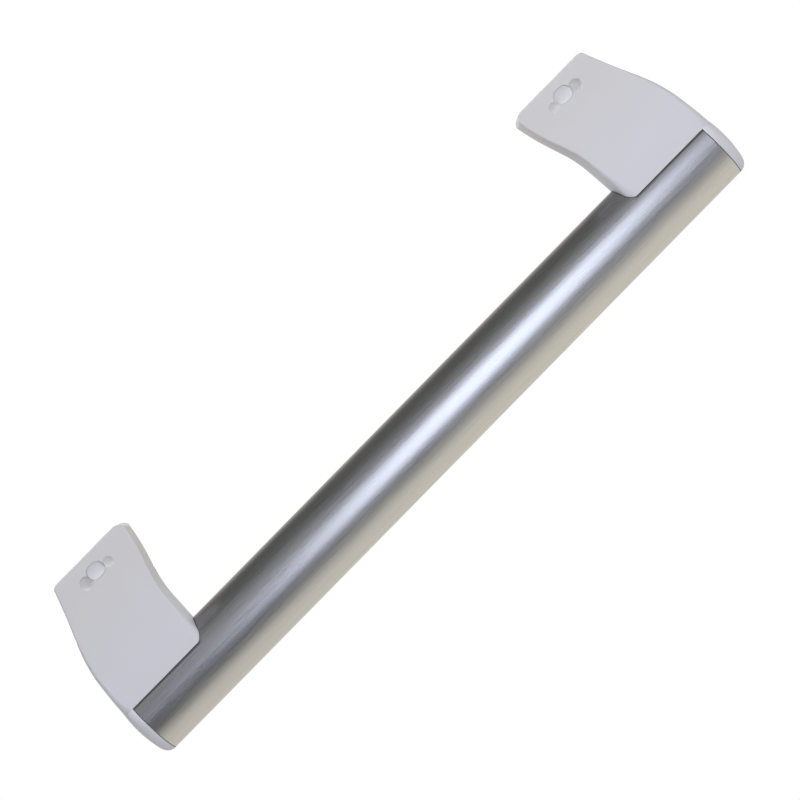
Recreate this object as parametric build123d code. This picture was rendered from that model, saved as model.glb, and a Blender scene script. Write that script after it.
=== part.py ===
from build123d import *
from math import sqrt
import os

os.makedirs("parts", exist_ok=True)

# Refrigerator door handle, in millimetres. The door face is the plane Z = 0 and Z points
# away from the door. X runs along the grip and the origin lies midway between the feet.
# A setback is measured from the cut end of the tube towards the middle of the handle.

# Grip tube: from the middle of the handle to each cut end, and its axis above the door
tube_diameter = 30.0
tube_wall = 1.2
tube_end = 153.8
axis_height = 60.7

# Notch of the tube that the leg fills, from the tube axis towards the door
notch_drop = 7.0

# Domed cap that closes each end of the tube
cap_length = 5.5
cap_crown_radius = 50.0
cap_edge_round = 4.0
cap_wall = 4.7

# Spigot of the leg inside the tube, with ribs that touch the bore
spigot_length = 55.2
spigot_wall = 3.7
spigot_lead = 1.0
spigot_rib = 1.2

# Leg: setbacks of its inner and outer faces, crown of its inner face and corner rounds
leg_top_setback = 39.6
foot_inner_setback = 47.9
foot_outer_setback = 11.3
leg_crown = 1.7
leg_corner_round = 0.8
leg_notch_round = 4.2
foot_round = 4.0
foot_edge_chamfer = 0.3

# Hollow of the leg
leg_wall = 4.0
cheek_wall = 3.0
hollow_rim = 1.0
hollow_round = 3.0
hollow_roof = 4.0

# Stud, its socket and the boss around it
stud_setback = 28.3
stud_diameter = 8.0
stud_bore_depth = 14.0
stud_lead = 0.4
socket_length = 14.0
socket_width = 17.0
socket_roof = 1.0
socket_round = 2.0
boss_wall = 2.5

# Set screw
screw_height = 7.0
screw_diameter = 5.0
screw_length = 5.0
screw_lead = 0.4
screw_key = 2.5
screw_key_depth = 2.2

# Dished plug that covers the set screw, and a dimple for a fingernail at each end of it: the
# deep one is on the outer side, the shallow one on the inner side
plug_length = 7.6
plug_height = 5.8
plug_thickness = 1.5
plug_shift = 0.6
plug_dish_radius = 5.6
plug_stem_diameter = 5.4
plug_stem_wall = 1.1
dimple_diameter = 5.4
dimple_depth = 1.8
dimple_offset = 6.5
shallow_dimple_diameter = 4.2
shallow_dimple_depth = 0.7
shallow_dimple_offset = 5.2
dimple_rise = 1.0

# Clearances and steps, per side
cap_step = 0.1
spigot_gap = 0.08
notch_gap = 0.3
notch_seam = 0.4
end_play = 0.25
stud_gap = 0.25
screw_start_gap = 0.2
plug_screw_gap = 0.3
plug_gap = 0.1
access_gap = 0.15

# Sizes that follow from the ones above
tube_radius = tube_diameter / 2
bore_radius = tube_radius - tube_wall
door_side = axis_height - tube_radius
notch_height = axis_height - notch_drop
leg_half = sqrt(tube_radius ** 2 - notch_drop ** 2)
cap_apex = tube_end + cap_length
cap_centre = cap_apex - cap_crown_radius
spigot_radius = bore_radius - spigot_gap
spigot_bore = spigot_radius - spigot_wall
stud_x = tube_end - stud_setback
stud_bore = stud_diameter / 2 + stud_gap
socket_height = stud_bore_depth + socket_roof
screw_start = stud_bore + screw_start_gap
screw_end = screw_start + screw_length
pocket_floor = leg_half - plug_thickness
plug_x = stud_x + plug_shift
hollow_top = axis_height - spigot_bore - hollow_roof
grip_axis = Axis((0, 0, axis_height), (1, 0, 0))


def crown_x(radius):
    """X of the cap's crown at a radius from the tube axis."""
    return cap_centre + sqrt(cap_crown_radius ** 2 - radius ** 2)


# The round of the cap's edge ends short of the cut end of the tube.
cap_reach = cap_crown_radius ** 2 - tube_radius ** 2 - (tube_end - cap_centre) ** 2
cap_edge = min(cap_edge_round, 0.98 * cap_reach / 2 / (cap_crown_radius - tube_radius))

# Shape of the leg, as shares from the foot (0) to the notch (1): height, travel of the
# inner face, travel of the outer face, crown, growth of the inner and outer corner rounds.
leg_curve = [
    (0.0, 0.0, 0.0, 0.17, 0.0, 0.0),
    (0.19, 0.21, 0.26, 0.33, 0.0, 0.0),
    (0.33, 0.44, 0.48, 0.6, 0.0, 0.0),
    (0.48, 0.72, 0.70, 0.87, 0.0, 0.0),
    (0.62, 0.87, 0.845, 0.95, 0.06, 0.01),
    (0.75, 0.93, 0.92, 0.98, 0.22, 0.05),
    (0.85, 0.965, 0.96, 1.0, 0.5, 0.15),
    (0.93, 0.985, 0.985, 1.0, 0.78, 0.45),
    (1.0, 1.0, 1.0, 1.0, 1.0, 1.0),
]


def between(start, end, share):
    return start + (end - start) * share


def leg_section(shares, gap=0.0):
    """Closed outline of the leg at one height, grown by a gap."""
    height, inner_travel, outer_travel, crown, inner_growth, outer_growth = shares
    inner_start, inner_end = tube_end - foot_inner_setback, tube_end - leg_top_setback
    outer_start, outer_end = tube_end - foot_outer_setback, crown_x(notch_drop) - cap_step
    half = leg_half + gap
    inner = between(inner_start, inner_end, inner_travel) - gap
    outer = between(outer_start, outer_end, outer_travel) + gap
    inner_edge = inner + crown * leg_crown
    outer_edge = outer - crown * (crown_x(notch_drop) - crown_x(tube_radius))
    edges = [
        ThreePointArc((inner_edge, half), (inner, 0), (inner_edge, -half)),
        Line((inner_edge, -half), (outer_edge, -half)),
        ThreePointArc((outer_edge, -half), (outer, 0), (outer_edge, half)),
        Line((outer_edge, half), (inner_edge, half)),
    ]
    face = make_face(edges)
    inner_round = between(leg_corner_round, leg_notch_round, inner_growth) + gap
    outer_round = between(leg_corner_round, cap_edge, outer_growth) + gap
    face = fillet(face.vertices().sort_by(Axis.X)[:2], inner_round)
    face = fillet(face.vertices().sort_by(Axis.X)[-2:], outer_round)
    return Pos(0, 0, height * notch_height) * face


def leg_loft(gap=0.0):
    """Leg without end rounds, from below the door face to above the notch."""
    below = [between(leg_curve[0][i], leg_curve[1][i], -0.4) for i in range(3)]
    above = [between(leg_curve[-2][i], leg_curve[-1][i], 1.8) for i in range(3)]
    stations = [(*below, *leg_curve[0][3:]), *leg_curve, (*above, *leg_curve[-1][3:])]
    return loft([leg_section(station, gap) for station in stations])


def foot_prism():
    """Side outline of the leg above the door face, with both ends of the foot rounded."""
    share = 0.8 * foot_round / notch_height / leg_curve[1][0]
    inner_travel = (foot_inner_setback - leg_top_setback) * leg_curve[1][1]
    outer_travel = (crown_x(notch_drop) - tube_end + foot_outer_setback) * leg_curve[1][2]
    start = tube_end - foot_inner_setback + share * inner_travel
    end = tube_end - foot_outer_setback + share * outer_travel
    foot = Rectangle(end - start, 2 * foot_round, align=Align.MIN)
    foot = fillet(foot.vertices().group_by(Axis.Y)[0], foot_round)
    above = Rectangle(cap_apex, notch_height - foot_round, align=Align.MIN)
    outline = Pos(start, 0) * foot + Pos(start / 2, foot_round) * above
    return extrude(Plane.XZ * outline, amount=2 * leg_half, both=True)


def cheek_prism():
    """End outline of the leg above the door face, with the foot's cheek edges chamfered."""
    margin = 2.0
    outline = Rectangle(2 * (leg_half + margin), notch_height, align=(Align.CENTER, Align.MIN))
    low = outline.vertices().group_by(Axis.Y)[0]
    outline = chamfer(low, margin + foot_edge_chamfer)
    return extrude(Plane.YZ * outline, amount=2 * tube_end)


def leg_body():
    """Curved leg from the foot to the notch."""
    return leg_loft() & foot_prism() & cheek_prism()


def end_cap():
    """Domed cap turned about the tube axis."""
    rim = crown_x(tube_radius)
    top = axis_height + tube_radius
    edges = [
        Line((tube_end, axis_height), (tube_end, top)),
        Line((tube_end, top), (rim, top)),
        ThreePointArc(
            (rim, top),
            (crown_x(tube_radius / 2), axis_height + tube_radius / 2),
            (cap_apex, axis_height),
        ),
        Line((cap_apex, axis_height), (tube_end, axis_height)),
    ]
    face = Plane.XZ * make_face(edges)
    corner = face.vertices().sort_by(Axis.Z)[-2:].sort_by(Axis.X)[-1]
    return revolve(fillet(corner, cap_edge), axis=grip_axis)


def along_grip(radius, start, end):
    """Round bar about the tube axis between two X positions."""
    bar = Cylinder(radius, end - start, align=(Align.CENTER, Align.CENTER, Align.MIN))
    return Pos(start, 0, axis_height) * Rot(0, 90, 0) * bar


def spigot():
    """Plug of the leg in the tube bore, with a lead at its tip and four ribs behind it."""
    plug = along_grip(spigot_radius, tube_end - spigot_length, tube_end)
    plug = chamfer(plug.edges().sort_by(Axis.X)[0], spigot_lead)
    rib = Box(2 * tube_end, tube_diameter, spigot_rib)
    ribs = Pos(0, 0, axis_height) * (Rot(45, 0, 0) * rib + Rot(-45, 0, 0) * rib)
    behind_lead = tube_end - spigot_length + 3 * spigot_lead
    return plug + (ribs & along_grip(bore_radius, behind_lead, tube_end))


def spigot_hollow():
    """Bore of the spigot, open at its tip and closed by the cap."""
    return along_grip(spigot_bore, tube_end - spigot_length - 1, cap_apex - cap_wall)


def rounded_rectangle(start, end, half, height):
    """Outline between two X positions at a height, with round corners."""
    face = Rectangle(end - start, 2 * half)
    return Pos((start + end) / 2, 0, height) * fillet(face.vertices(), hollow_round)


def foot_hollow():
    """Hollow of the leg, open at the foot, around the boss that holds the socket."""
    rim = foot_round + hollow_rim
    half = leg_half - cheek_wall
    mouth_start = tube_end - foot_inner_setback + rim
    mouth_end = tube_end - foot_outer_setback - rim
    roof_start = tube_end - leg_top_setback + leg_wall
    roof_end = tube_end + cap_length - leg_wall - boss_wall
    hollow = loft(
        [
            rounded_rectangle(mouth_start, mouth_end, half, 0),
            rounded_rectangle(roof_start, roof_end, half, hollow_top),
        ],
        ruled=True,
    )
    boss = Box(
        socket_length + 2 * boss_wall,
        2 * leg_half,
        socket_height + boss_wall,
        align=(Align.CENTER, Align.CENTER, Align.MIN),
    )
    return hollow - Pos(stud_x, 0, 0) * boss


def socket_block():
    """Outside of the stud socket, flush with the foot."""
    block = Box(
        socket_length,
        socket_width,
        socket_height,
        align=(Align.CENTER, Align.CENTER, Align.MIN),
    )
    return Pos(stud_x, 0, 0) * fillet(block.edges().filter_by(Axis.Z), socket_round)


def across(radius, start, end):
    """Round bar on the set screw's line between two depths from the middle plane."""
    bar = Cylinder(radius, end - start, align=(Align.CENTER, Align.CENTER, Align.MIN))
    return Pos(stud_x, -start, screw_height) * Rot(90, 0, 0) * bar


def cheek_slot(length, height, x, start, end):
    """Slot with round ends, parallel to the cheek, between two depths."""
    face = Plane.XZ * (Pos(x, screw_height) * SlotOverall(length, height))
    return Pos(0, -start, 0) * extrude(face, amount=end - start)


def dimple(x, diameter, depth):
    """Ball that cuts a dimple into the cheek, its centre outside the leg."""
    radius = ((diameter / 2) ** 2 + depth ** 2) / (2 * depth)
    return Pos(x, depth - radius - leg_half, screw_height + dimple_rise) * Sphere(radius)


def leg():
    """One moulding: leg, cap and spigot."""
    body = leg_body() + end_cap() + spigot()
    body -= spigot_hollow()
    body -= foot_hollow()
    body -= socket_block()
    pocket_length, pocket_height = plug_length + 2 * plug_gap, plug_height + 2 * plug_gap
    body -= cheek_slot(pocket_length, pocket_height, plug_x, pocket_floor, leg_half + 1)
    body -= dimple(stud_x + dimple_offset, dimple_diameter, dimple_depth)
    body -= dimple(stud_x - shallow_dimple_offset, shallow_dimple_diameter, shallow_dimple_depth)
    body -= across(plug_stem_diameter / 2 + access_gap, socket_width / 2 - 0.5, leg_half)
    return body


def stud_socket():
    """Metal block with the stud bore and the cross hole of the set screw."""
    bore = Cylinder(stud_bore, stud_bore_depth, align=(Align.CENTER, Align.CENTER, Align.MIN))
    lead = Cone(
        stud_bore + stud_lead,
        stud_bore,
        stud_lead,
        align=(Align.CENTER, Align.CENTER, Align.MIN),
    )
    block = socket_block() - Pos(stud_x, 0, 0) * (bore + lead)
    return block - across(screw_diameter / 2, 0, socket_width)


def set_screw():
    """Screw with a hexagon key socket, clear of the stud bore."""
    screw = across(screw_diameter / 2, screw_start, screw_end)
    screw = chamfer(screw.edges().filter_by(GeomType.CIRCLE), screw_lead)
    key = RegularPolygon(screw_key / 2, 6, major_radius=False)
    key = Plane.XZ * (Pos(stud_x, screw_height) * key)
    return screw - Pos(0, screw_key_depth - screw_end, 0) * extrude(key, amount=screw_key_depth + 1)


def cover_plug():
    """Oblong plug with a dished face and a hollow stem, flush with the cheek."""
    head = cheek_slot(plug_length, plug_height, plug_x, pocket_floor, leg_half)
    dish_centre = leg_half + sqrt(plug_dish_radius ** 2 - (plug_height / 2) ** 2)
    dish = Rot(0, 90, 0) * Cylinder(plug_dish_radius, 2 * plug_length)
    head -= Pos(plug_x, -dish_centre, screw_height) * dish
    tip = screw_end + plug_screw_gap
    stem = across(plug_stem_diameter / 2, tip, pocket_floor)
    stem -= across(plug_stem_diameter / 2 - plug_stem_wall, tip - 1, pocket_floor)
    return head + stem


def grip_tube():
    """Tube with a notch at each end that the legs fill."""
    half_length = tube_end - end_play
    tube = along_grip(tube_radius, -half_length, half_length)
    tube -= along_grip(bore_radius, -tube_end, tube_end)
    notch_top = notch_height + notch_seam
    window = Box(
        4 * tube_end,
        4 * tube_radius,
        notch_top - door_side + 1,
        align=(Align.CENTER, Align.CENTER, Align.MAX),
    )
    notch = leg_loft(notch_gap) & Pos(0, 0, notch_top) * window
    return tube - notch - mirror(notch, Plane.YZ)


export_step(grip_tube(), "parts/grip_tube.step")
pieces = {
    "leg": leg(),
    "stud_socket": stud_socket(),
    "set_screw": set_screw(),
    "cover_plug": cover_plug(),
}
for name, piece in pieces.items():
    export_step(piece, f"parts/{name}_right.step")
    export_step(mirror(piece, Plane.YZ), f"parts/{name}_left.step")
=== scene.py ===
from math import pi

import bpy
from mathutils import Matrix, Quaternion, Vector


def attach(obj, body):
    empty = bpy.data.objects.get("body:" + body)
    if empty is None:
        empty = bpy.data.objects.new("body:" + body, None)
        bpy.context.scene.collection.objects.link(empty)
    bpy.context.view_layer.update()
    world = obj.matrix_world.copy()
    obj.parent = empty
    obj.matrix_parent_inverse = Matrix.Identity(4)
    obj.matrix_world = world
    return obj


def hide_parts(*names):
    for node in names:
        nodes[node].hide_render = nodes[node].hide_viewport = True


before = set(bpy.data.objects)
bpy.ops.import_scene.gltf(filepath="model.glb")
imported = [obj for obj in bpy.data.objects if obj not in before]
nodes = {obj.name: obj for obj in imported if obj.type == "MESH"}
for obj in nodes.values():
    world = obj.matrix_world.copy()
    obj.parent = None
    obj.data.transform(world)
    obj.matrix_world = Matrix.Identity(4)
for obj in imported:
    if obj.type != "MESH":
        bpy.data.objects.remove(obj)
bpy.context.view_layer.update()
scene = bpy.context.scene
scene.view_settings.view_transform = "Standard"

# The camera looks straight at the legs' flat cheeks, from the side of the cover plugs. It is
# rolled so that the grip runs from the lower left to the upper right of the picture.
lens_to_middle = 1.42
picture_width = 0.30536
middle_along_grip, middle_above_door = -0.00054, 0.04396
grip_across, grip_up = 0.7007, 0.7135
camera_data = bpy.data.cameras.new("camera")
camera_data.sensor_width = 36.0
camera_data.lens = camera_data.sensor_width * lens_to_middle / picture_width
camera = bpy.data.objects.new("camera", camera_data)
right = Vector((-grip_across, 0.0, grip_up))
above = Vector((-grip_up, 0.0, -grip_across))
back = Vector((0.0, -1.0, 0.0))
camera_turn = Matrix((right, above, back)).transposed().to_4x4()
camera_place = (middle_along_grip, -lens_to_middle, middle_above_door)
camera.matrix_world = Matrix.Translation(camera_place) @ camera_turn
scene.collection.objects.link(camera)
scene.camera = camera


# The floor is a plain pale sheet under the two feet, which stand over it as over the door,
# with a hair of room so that no two faces share a plane. It shows white to the camera and
# keeps the handle's shadow.
def new_material(name):
    """Empty node tree with an output, as (material, tree, output node)."""
    material = bpy.data.materials.new(name)
    material.use_nodes = True
    tree = material.node_tree
    tree.nodes.clear()
    return material, tree, tree.nodes.new("ShaderNodeOutputMaterial")


def add(tree, kind, inputs=None, **properties):
    """New node with its properties set, and its inputs set or linked by name or number."""
    node = tree.nodes.new(kind)
    for name, value in properties.items():
        setattr(node, name, value)
    for name, value in (inputs or {}).items():
        if isinstance(value, bpy.types.NodeSocket):
            tree.links.new(value, node.inputs[name])
        else:
            node.inputs[name].default_value = value
    return node


def grey(level):
    """Opaque grey of a level."""
    return (level, level, level, 1.0)


floor_half = 6.0
below_feet = 0.0001
sheet_grey, seen_grey, seen_glow = 0.8, 0.9, 0.62
ways = ((-1, -1), (1, -1), (1, 1), (-1, 1))
corners = [(x * floor_half, y * floor_half, -below_feet) for x, y in ways]
floor_mesh = bpy.data.meshes.new("floor")
floor_mesh.from_pydata(corners, [], [(0, 1, 2, 3)])
floor = bpy.data.objects.new("floor", floor_mesh)
floor.visible_glossy = False
scene.collection.objects.link(floor)

pale_floor, tree, output = new_material("pale_floor")
sheet = add(tree, "ShaderNodeBsdfDiffuse", {"Color": grey(sheet_grey)})
shadowed = add(tree, "ShaderNodeBsdfDiffuse", {"Color": grey(seen_grey)})
glow = add(tree, "ShaderNodeEmission", {"Strength": seen_glow})
seen = add(tree, "ShaderNodeAddShader", {0: shadowed.outputs[0], 1: glow.outputs[0]})
is_seen = add(tree, "ShaderNodeLightPath").outputs["Is Camera Ray"]
both = add(tree, "ShaderNodeMixShader", {"Fac": is_seen, 1: sheet.outputs[0], 2: seen.outputs[0]})
tree.links.new(both.outputs[0], output.inputs["Surface"])
floor_mesh.materials.append(pale_floor)


# The room is white to the camera and fills the shadows with soft light. The metal mirrors it
# by the angle round the grip: 0 degrees is the camera's side, 90 the side away from the door
# and -90 the door. One ring of tones is for the left leg's side and one for the right leg's.
def reckon(tree, operation, *values):
    """Output of a Math node that works on sockets and plain numbers."""
    return add(tree, "ShaderNodeMath", dict(enumerate(values)), operation=operation).outputs[0]


def spread(tree, value, low, high, start=0.0, end=1.0, kind="LINEAR"):
    """Value taken from the range low to high into the range start to end."""
    inputs = {"Value": value, "From Min": low, "From Max": high, "To Min": start, "To Max": end}
    return add(tree, "ShaderNodeMapRange", inputs, interpolation_type=kind).outputs["Result"]


def blend(tree, share, first, second):
    """Colour between two colours."""
    inputs = {"Factor": share, "A": first, "B": second}
    return add(tree, "ShaderNodeMix", inputs, data_type="RGBA").outputs["Result"]


def parts_of(tree, place):
    """X, Y and Z of a place or direction."""
    return add(tree, "ShaderNodeSeparateXYZ", {0: place}).outputs


def ring_of_tones(tree, turn, tones):
    """Colour by the turn round the grip, 0 to 1, from pairs of degrees and colour."""
    ramp = add(tree, "ShaderNodeValToRGB", {"Fac": turn})
    stops = ramp.color_ramp.elements
    while len(stops) < len(tones):
        stops.new(0.5)
    for stop, (degrees, colour) in zip(stops, tones):
        stop.position = degrees / 360.0 + 0.5
        stop.color = (*colour, 1.0)
    return ramp.outputs["Color"]


behind_and_below = [
    (-180, (0.85, 0.82, 0.72)),
    (-165, (0.78, 0.76, 0.7)),
    (-148, (0.62, 0.61, 0.58)),
    (-132, (0.13, 0.13, 0.12)),
    (-82, (0.115, 0.115, 0.11)),
]
left_tones = behind_and_below + [
    (-54, (0.32, 0.32, 0.32)),
    (5, (0.28, 0.29, 0.32)),
    (30, (0.25, 0.26, 0.28)),
    (46, (0.42, 0.41, 0.4)),
    (62, (0.68, 0.66, 0.6)),
    (78, (0.91, 0.865, 0.745)),
    (110, (0.91, 0.86, 0.75)),
    (180, (0.85, 0.82, 0.72)),
]
right_tones = behind_and_below + [
    (-54, (0.31, 0.31, 0.33)),
    (-8, (0.23, 0.23, 0.26)),
    (22, (0.0, 0.0, 0.01)),
    (42, (0.06, 0.055, 0.05)),
    (60, (0.48, 0.455, 0.415)),
    (78, (0.81, 0.76, 0.66)),
    (110, (0.82, 0.77, 0.68)),
    (180, (0.85, 0.82, 0.72)),
]
left_until, right_from = -0.02, 0.12
shadow_fill, backdrop_white = 0.55, 1.0

world = bpy.data.worlds.new("studio")
world.use_nodes = True
scene.world = world
tree = world.node_tree
tree.nodes.clear()
direction = add(tree, "ShaderNodeTexCoord").outputs["Generated"]
parts = parts_of(tree, direction)
forward = reckon(tree, "MULTIPLY", parts["Y"], -1.0)
turn = spread(tree, reckon(tree, "ARCTAN2", parts["Z"], forward), -pi, pi)
aside = spread(tree, parts["X"], left_until, right_from)
left_ring = ring_of_tones(tree, turn, left_tones)
right_ring = ring_of_tones(tree, turn, right_tones)
mirrored = blend(tree, aside, left_ring, right_ring)
room_light = add(tree, "ShaderNodeBackground", {"Color": mirrored}).outputs[0]
soft_light = add(tree, "ShaderNodeBackground", {"Color": grey(shadow_fill)}).outputs[0]
backdrop = add(tree, "ShaderNodeBackground", {"Color": grey(backdrop_white)}).outputs[0]
rays = add(tree, "ShaderNodeLightPath").outputs
lit = {"Fac": rays["Is Glossy Ray"], 1: soft_light, 2: room_light}
unseen = add(tree, "ShaderNodeMixShader", lit).outputs[0]
studio = add(tree, "ShaderNodeMixShader", {"Fac": rays["Is Camera Ray"], 1: unseen, 2: backdrop})
add(tree, "ShaderNodeOutputWorld", {"Surface": studio.outputs[0]})

# Two soft boxes beside the camera light the handle: a cool one, the only one that the metal
# mirrors, and a neutral one for the plastic. A weak one under the handle stands for the light
# of a pale table, and one more lights the far side. The floor casts no shadow in them.
lit_middle = Vector((0.0, 0.0, 0.045))
cool_light, neutral_light, white_light = (0.79, 0.835, 1.0), (1.0, 0.99, 0.97), (1.0, 1.0, 1.0)


def soft_box(name, place, size, watts, colour, roll=0.0):
    """Flat lamp that faces the middle of the handle, rolled by an angle."""
    lamp = bpy.data.lights.new(name, "AREA")
    lamp.shape = "RECTANGLE"
    lamp.size, lamp.size_y = size
    lamp.energy = watts
    lamp.color = colour
    holder = bpy.data.objects.new(name, lamp)
    holder.location = place
    facing = (lit_middle - Vector(place)).to_track_quat("-Z", "Z")
    holder.rotation_mode = "QUATERNION"
    holder.rotation_quaternion = facing @ Quaternion((0.0, 0.0, 1.0), roll)
    holder.visible_camera = False
    scene.collection.objects.link(holder)
    return holder


key = soft_box("key_light", (-0.065, -1.35, -0.18), (0.34, 1.05), 2.65, cool_light, roll=-0.14)
fill = soft_box("fill_light", (-0.55, -1.18, -0.15), (0.4, 0.4), 5.0, neutral_light)
bounce = soft_box("bounce_light", (0.0, -0.1, -0.35), (0.2, 0.2), 1.1, white_light)
rear = soft_box("rear_light", (0.3, 1.3, -0.15), (0.4, 0.4), 5.0, white_light)

blockers = bpy.data.collections.new("key_blockers")
for node in nodes.values():
    blockers.objects.link(node)
for lamp in (key, fill, bounce, rear):
    lamp.light_linking.blocker_collection = blockers
    lamp.visible_glossy = lamp is key

# Grip tube: drawn steel tube with a thin wall, notched at both ends where the legs meet it,
# brushed along its length and left bare. The spigots of the legs hold it from inside.
tube_sizes = {
    "Half length": 0.15355,
    "Radius": 0.015,
    "Wall": 0.0012,
    "Axis height": 0.0607,
    "Notch edge": -0.0066,
    "Notch start": 0.1139,
    "Notch start at the door side": 0.11361,
    "Notch half width": 0.013566,
    "Notch bow": 0.0017,
    "Notch corner": 0.0045,
    "Notch corner at the door side": 0.0028,
}
edge_round = 0.00015
dull_steel, bright_steel = (0.55, 0.55, 0.56, 1.0), (0.66, 0.66, 0.66, 1.0)
long_streak, short_streak = (0.022, 0.0004), (0.009, 0.00014)
short_share = 0.5
scratch_low, scratch_high = 0.5, 1.0

# Painted shade where the tube meets the legs: a thin painted shadow line along the cut of the
# notch, and a wide painted shade in the corner on the door side.
painted_shade_colour = (0.07, 0.065, 0.06, 1.0)
seam_shade_share, corner_shade_share = 0.45, 0.4
notch_start = tube_sizes["Notch start"]
notch_height = tube_sizes["Axis height"] + tube_sizes["Notch edge"]
seam_start, seam_full = notch_start + 0.0021, notch_start + 0.0051
seam_top, seam_bottom = notch_height + 0.0007, notch_height + 0.0004
corner_start, corner_full = notch_start - 0.0199, notch_start + 0.0001
corner_top, corner_bottom = notch_height - 0.0001, notch_height - 0.0061


def place_on_piece(tree):
    """Place on a piece, in Object coordinates."""
    return add(tree, "ShaderNodeTexCoord").outputs["Object"]


def noise(tree, place, scale, detail):
    """Strength of a noise at a place."""
    inputs = {"Vector": place, "Scale": scale, "Detail": detail}
    return add(tree, "ShaderNodeTexNoise", inputs).outputs["Fac"]


def coat(tree, output, inputs):
    """Surface with the given inputs, linked to the material's output."""
    surface = add(tree, "ShaderNodeBsdfPrincipled", inputs)
    tree.links.new(surface.outputs[0], output.inputs["Surface"])


brushed_steel, tree, output = new_material("brushed_steel")
place = place_on_piece(tree)
spot = parts_of(tree, place)
streaks = []
for length, width in (long_streak, short_streak):
    drawn_out = {"Vector": place, "Scale": (1 / length, 1 / width, 1 / width)}
    stretched = add(tree, "ShaderNodeMapping", drawn_out).outputs["Vector"]
    streaks.append(noise(tree, stretched, scale=1.0, detail=2.0))
scratch = reckon(tree, "MULTIPLY_ADD", streaks[1], short_share, streaks[0])
shade = spread(tree, scratch, scratch_low, scratch_high)
out_along = reckon(tree, "ABSOLUTE", spot["X"])
beside_leg = spread(tree, out_along, seam_start, seam_full, kind="SMOOTHSTEP")
near_cut = spread(tree, spot["Z"], seam_top, seam_bottom, kind="SMOOTHSTEP")
near_leg = spread(tree, out_along, corner_start, corner_full, kind="SMOOTHSTEP")
near_door = spread(tree, spot["Z"], corner_top, corner_bottom, kind="SMOOTHSTEP")
# Painted shade: the seam line and the door-side corner are darkened towards near black.
in_seam = reckon(tree, "MULTIPLY", reckon(tree, "MULTIPLY", near_cut, beside_leg), seam_shade_share)
in_corner = reckon(tree, "MULTIPLY", reckon(tree, "MULTIPLY", near_leg, near_door), corner_shade_share)
painted_shade = reckon(tree, "MAXIMUM", in_seam, in_corner)
grooves = add(tree, "ShaderNodeBump", {"Strength": 0.2, "Distance": 0.00001, "Height": scratch})
round_tube = add(tree, "ShaderNodeTangent", direction_type="RADIAL", axis="X")
steel = {
    # The steel's colour carries the painted shade of the seam and the corner.
    "Base Color": blend(tree, painted_shade, blend(tree, shade, dull_steel, bright_steel), painted_shade_colour),
    "Metallic": 1.0,
    "Roughness": spread(tree, shade, 0.0, 1.0, start=0.26, end=0.32),
    "Anisotropic": 0.7,
    "Tangent": round_tube.outputs["Tangent"],
    "Normal": grooves.outputs["Normal"],
}
coat(tree, output, steel)

# The tube is rolled from a flat blank. Along the blank, 1 is the cut of the notch and 2 the
# end of the tube. Across it, 0 is the side of the palm, 1 the edge of the notch and 2 the
# side of the door. Each sheet of it has its middle, length, steps along and width.
blank_sheets = ((0.0, 2.0, 8, 4.0), (-1.5, 1.0, 2, 2.0), (1.5, 1.0, 2, 2.0))
steps_around = 48
join_on_blank, join_on_bore, join_of_walls = 0.0001, 0.00001, 0.000001

rolling = bpy.data.node_groups.new("notched_tube", "GeometryNodeTree")
for label in tube_sizes:
    rolling.interface.new_socket(label, in_out="INPUT", socket_type="NodeSocketFloat")
rolling.interface.new_socket("Steel", in_out="INPUT", socket_type="NodeSocketMaterial")
rolling.interface.new_socket("Geometry", in_out="OUTPUT", socket_type="NodeSocketGeometry")
given = add(rolling, "NodeGroupInput").outputs


def work(operation, *values):
    """Output of a Math node in the tree of the tube."""
    return reckon(rolling, operation, *values)


def shaped(kind, inputs):
    """Geometry that comes out of a new node in the tree of the tube."""
    return add(rolling, kind, inputs).outputs[0]


def merged(geometry, distance):
    """Geometry with the points closer than a distance made one."""
    return shaped("GeometryNodeMergeByDistance", {"Geometry": geometry, "Distance": distance})


def joined(geometries):
    """Several geometries as one."""
    join = add(rolling, "GeometryNodeJoinGeometry")
    for geometry in geometries:
        rolling.links.new(geometry, join.inputs["Geometry"])
    return join.outputs[0]


def squared(value):
    """Value times itself."""
    return work("MULTIPLY", value, value)


def third_side(longest, other):
    """Third side of a right-angled triangle."""
    rest = work("SUBTRACT", squared(longest), squared(other))
    return work("SQRT", work("MAXIMUM", rest, 0.0))


sheets = []
for middle, length, steps_along, width in blank_sheets:
    steps = {"Vertices X": steps_along + 1, "Vertices Y": int(width) * steps_around + 1}
    flat = shaped("GeometryNodeMeshGrid", {"Size X": length, "Size Y": width, **steps})
    slide = {"Geometry": flat, "Translation": (middle, 0.0, 0.0)}
    sheets.append(shaped("GeometryNodeTransform", slide))
blank = merged(joined(sheets), join_on_blank)
on_blank = parts_of(rolling, add(rolling, "GeometryNodeInputPosition").outputs[0])
marks = add(rolling, "GeometryNodeCaptureAttribute", {"Geometry": blank})
for label, operation, axis in (
    ("along", "ABSOLUTE", "X"),
    ("end", "SIGN", "X"),
    ("across", "ABSOLUTE", "Y"),
    ("side", "SIGN", "Y"),
):
    marks.capture_items.new("FLOAT", label)
    rolling.links.new(work(operation, on_blank[axis]), marks.inputs[label])
along, end, across, side = (marks.outputs[label] for label in ("along", "end", "across", "side"))

bow = given["Notch bow"]
half_width = given["Notch half width"]
bow_squares = work("ADD", squared(half_width), squared(bow))
bow_radius = work("DIVIDE", bow_squares, work("MULTIPLY", bow, 2.0))


def towards_door(label, down):
    """Size that changes from the notch's edge to the tube's side on the door."""
    change = work("SUBTRACT", given[f"{label} at the door side"], given[label])
    return work("MULTIPLY_ADD", change, down, given[label])


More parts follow.
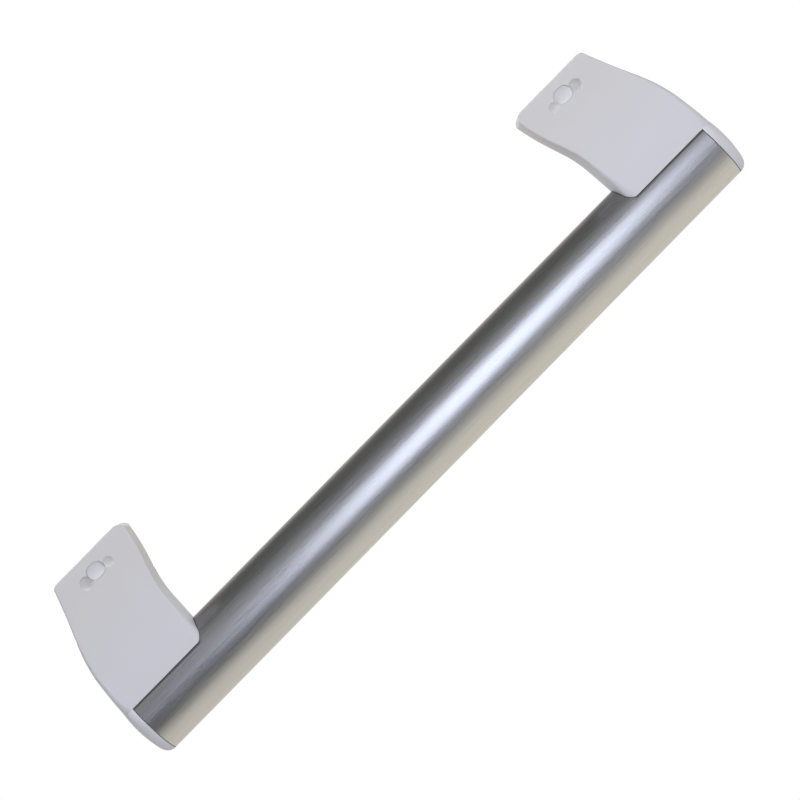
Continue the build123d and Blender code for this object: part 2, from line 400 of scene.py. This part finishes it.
def notch_cut(y, down):
    """Distance from the tube's middle to the notch's cut: a bowed face with round corners."""
    corner = towards_door("Notch corner", down)
    flat_width = work("SUBTRACT", half_width, corner)
    inside = work("SUBTRACT", bow_radius, corner)
    middle = work("ADD", towards_door("Notch start", down), bow_radius)
    bowed = work("SUBTRACT", middle, third_side(bow_radius, y))
    past_flat = work("SUBTRACT", y, flat_width)
    rounded = work("SUBTRACT", middle, third_side(inside, flat_width))
    rounded = work("SUBTRACT", rounded, third_side(corner, past_flat))
    touch = work("DIVIDE", work("MULTIPLY", flat_width, bow_radius), inside)
    in_round = work("GREATER_THAN", y, touch)
    return work("MULTIPLY_ADD", in_round, work("SUBTRACT", rounded, bowed), bowed)


def rolled(radius):
    """Position on the rolled wall at a radius, with the notch cut to the leg's inner face."""
    notch_angle = work("ARCCOSINE", work("DIVIDE", given["Notch edge"], radius))
    to_notch = work("MULTIPLY", work("MINIMUM", across, 1.0), notch_angle)
    past_notch = work("MAXIMUM", work("SUBTRACT", across, 1.0), 0.0)
    past_notch = work("MULTIPLY", past_notch, work("SUBTRACT", pi, notch_angle))
    angle = work("ADD", to_notch, past_notch)
    cut_angle = work("MAXIMUM", angle, notch_angle)
    cut_y = work("MULTIPLY", radius, work("SINE", cut_angle))
    cut_z = work("MULTIPLY", radius, work("COSINE", cut_angle))
    door_side = work("MULTIPLY", given["Radius"], -1.0)
    cut = notch_cut(cut_y, spread(rolling, cut_z, given["Notch edge"], door_side))
    to_cut = work("MULTIPLY", work("MINIMUM", along, 1.0), cut)
    past_cut = work("MAXIMUM", work("SUBTRACT", along, 1.0), 0.0)
    past_cut = work("MULTIPLY", past_cut, work("SUBTRACT", given["Half length"], cut))
    sideways = work("MULTIPLY", radius, work("SINE", angle))
    upwards = work("MULTIPLY", radius, work("COSINE", angle))
    point = {
        "X": work("MULTIPLY", end, work("ADD", to_cut, past_cut)),
        "Y": work("MULTIPLY", side, sideways),
        "Z": work("ADD", upwards, given["Axis height"]),
    }
    return add(rolling, "ShaderNodeCombineXYZ", point).outputs["Vector"]


# The bore is placed first and drawn out to the outside, which closes the wall at both ends.
bore_place = rolled(work("SUBTRACT", given["Radius"], given["Wall"]))
on_bore = {"Geometry": marks.outputs["Geometry"], "Position": bore_place}
bore = merged(shaped("GeometryNodeSetPosition", on_bore), join_on_bore)
doubling = {"Mesh": bore, "Offset Scale": 0.0, "Individual": False}
doubled = add(rolling, "GeometryNodeExtrudeMesh", doubling).outputs
on_outside = {
    "Geometry": doubled["Mesh"],
    "Selection": doubled["Top"],
    "Position": rolled(given["Radius"]),
}
outside = shaped("GeometryNodeSetPosition", on_outside)
inside = shaped("GeometryNodeFlipFaces", {"Mesh": bore})
closed = merged(joined((outside, inside)), join_of_walls)
smooth = shaped("GeometryNodeSetShadeSmooth", {"Geometry": closed})
real = shaped("GeometryNodeRealizeInstances", {"Geometry": smooth})
coated = shaped("GeometryNodeSetMaterial", {"Geometry": real, "Material": given["Steel"]})
add(rolling, "NodeGroupOutput", {"Geometry": coated})

pattern = bpy.data.objects.new("tube_pattern", bpy.data.meshes.new("tube_pattern"))
scene.collection.objects.link(pattern)
roll = pattern.modifiers.new("roll", "NODES")
roll.node_group = rolling
inputs = [item for item in rolling.interface.items_tree if item.in_out == "INPUT"]
sockets = {item.name: item.identifier for item in inputs}
for label, size in tube_sizes.items():
    roll[sockets[label]] = size
roll[sockets["Steel"]] = brushed_steel
edges = pattern.modifiers.new("edges", "BEVEL")
edges.width = edge_round
edges.segments = 2
edges.limit_method = "ANGLE"
edges.angle_limit = 0.7
edges.harden_normals = True
evaluated = pattern.evaluated_get(bpy.context.evaluated_depsgraph_get())
tube_mesh = bpy.data.meshes.new_from_object(evaluated)
bpy.data.objects.remove(pattern)
tube = bpy.data.objects.new("brushed_tube", tube_mesh)
scene.collection.objects.link(tube)
blockers.objects.link(tube)
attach(tube, "root")
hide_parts("grip_tube")

# Legs: one injection moulding each, in light grey satin plastic, with the domed cap and the
# spigot that goes into the tube. Two studs of the door hold them. The plastic is painted paler
# and bluer near the tube as painted light, and the spigot is painted dark as shade where it shows
# in the gap beside the tube.
foot_grey, lit_notch_grey = (0.615, 0.608, 0.624, 1.0), (0.645, 0.64, 0.705, 1.0)
foot_height, lit_tint_height = 0.016, 0.05
cloud_scale, cloud_reach = 70.0, 0.016
gap_shadow_grey, gap_shade = grey(0.1), 0.85
gap_radius = tube_sizes["Radius"] - 0.0001
gap_end = tube_sizes["Half length"] - 0.00025
moulding_grain = 2600.0

satin_plastic, tree, output = new_material("satin_plastic")
place = place_on_piece(tree)
spot = parts_of(tree, place)
# Painted light: the plastic turns paler and bluer from the feet up to the notch, standing in for
# the cool light near the tube.
cloud = noise(tree, place, cloud_scale, detail=3.0)
clouded_height = reckon(tree, "MULTIPLY_ADD", cloud, cloud_reach, spot["Z"])
toward_lit_notch = spread(tree, clouded_height, foot_height, lit_tint_height)
# Painted shade: plastic inside the tube's radius and short of its end is darkened, as in a gap
# that no light reaches.
over_axis = reckon(tree, "SUBTRACT", spot["Z"], tube_sizes["Axis height"])
squares = reckon(tree, "MULTIPLY", over_axis, over_axis)
squares = reckon(tree, "MULTIPLY_ADD", spot["Y"], spot["Y"], squares)
in_tube = reckon(tree, "LESS_THAN", squares, gap_radius ** 2)
before_end = reckon(tree, "LESS_THAN", reckon(tree, "ABSOLUTE", spot["X"]), gap_end)
in_shaded_gap = reckon(tree, "MULTIPLY", reckon(tree, "MULTIPLY", in_tube, before_end), gap_shade)
grain = noise(tree, place, moulding_grain, detail=2.0)
texture = add(tree, "ShaderNodeBump", {"Strength": 0.15, "Distance": 0.00003, "Height": grain})
plastic = {
    "Base Color": blend(tree, in_shaded_gap, blend(tree, toward_lit_notch, foot_grey, lit_notch_grey), gap_shadow_grey),
    "Roughness": spread(tree, grain, 0.0, 1.0, start=0.36, end=0.48),
    "Normal": texture.outputs["Normal"],
}
coat(tree, output, plastic)
for side in ("left", "right"):
    nodes[f"leg_{side}"].material_slots[0].material = satin_plastic

# Stud sockets: die-cast zinc blocks in the feet, each bored for a stud of the door and
# threaded across for its set screw.
dark_zinc, pale_zinc = (0.42, 0.42, 0.41, 1.0), (0.58, 0.57, 0.55, 1.0)
zinc_casting, tree, output = new_material("zinc_casting")
skin = noise(tree, place_on_piece(tree), scale=900.0, detail=4.0)
pitting = add(tree, "ShaderNodeBump", {"Strength": 0.4, "Distance": 0.00005, "Height": skin})
zinc = {
    "Base Color": blend(tree, skin, dark_zinc, pale_zinc),
    "Metallic": 1.0,
    "Roughness": spread(tree, skin, 0.0, 1.0, start=0.35, end=0.6),
    "Normal": pitting.outputs["Normal"],
}
coat(tree, output, zinc)
for side in ("left", "right"):
    nodes[f"stud_socket_{side}"].material_slots[0].material = zinc_casting

# Set screws: zinc-plated steel with a hexagon key socket, one across each stud socket. They
# clamp the studs when the handle is on its door.
blue_plating, pale_plating = (0.46, 0.5, 0.55, 1.0), (0.62, 0.64, 0.66, 1.0)
plated_screw, tree, output = new_material("plated_screw")
haze = noise(tree, place_on_piece(tree), scale=1500.0, detail=3.0)
plating = {
    "Base Color": blend(tree, haze, blue_plating, pale_plating),
    "Metallic": 1.0,
    "Roughness": spread(tree, haze, 0.0, 1.0, start=0.2, end=0.4),
}
coat(tree, output, plating)
for side in ("left", "right"):
    nodes[f"set_screw_{side}"].material_slots[0].material = plated_screw

# Cover plugs: small dished plugs of a slightly paler plastic, pressed into the cheeks over
# the set screws. A fingernail in the dimple beside one gets it out.
plug_grey, pale_plug = (0.66, 0.655, 0.7, 1.0), (0.7, 0.695, 0.75, 1.0)
plug_plastic, tree, output = new_material("plug_plastic")
grain = noise(tree, place_on_piece(tree), moulding_grain, detail=2.0)
plug = {
    "Base Color": blend(tree, grain, plug_grey, pale_plug),
    "Roughness": spread(tree, grain, 0.0, 1.0, start=0.34, end=0.46),
}
coat(tree, output, plug)
for side in ("left", "right"):
    nodes[f"cover_plug_{side}"].material_slots[0].material = plug_plastic
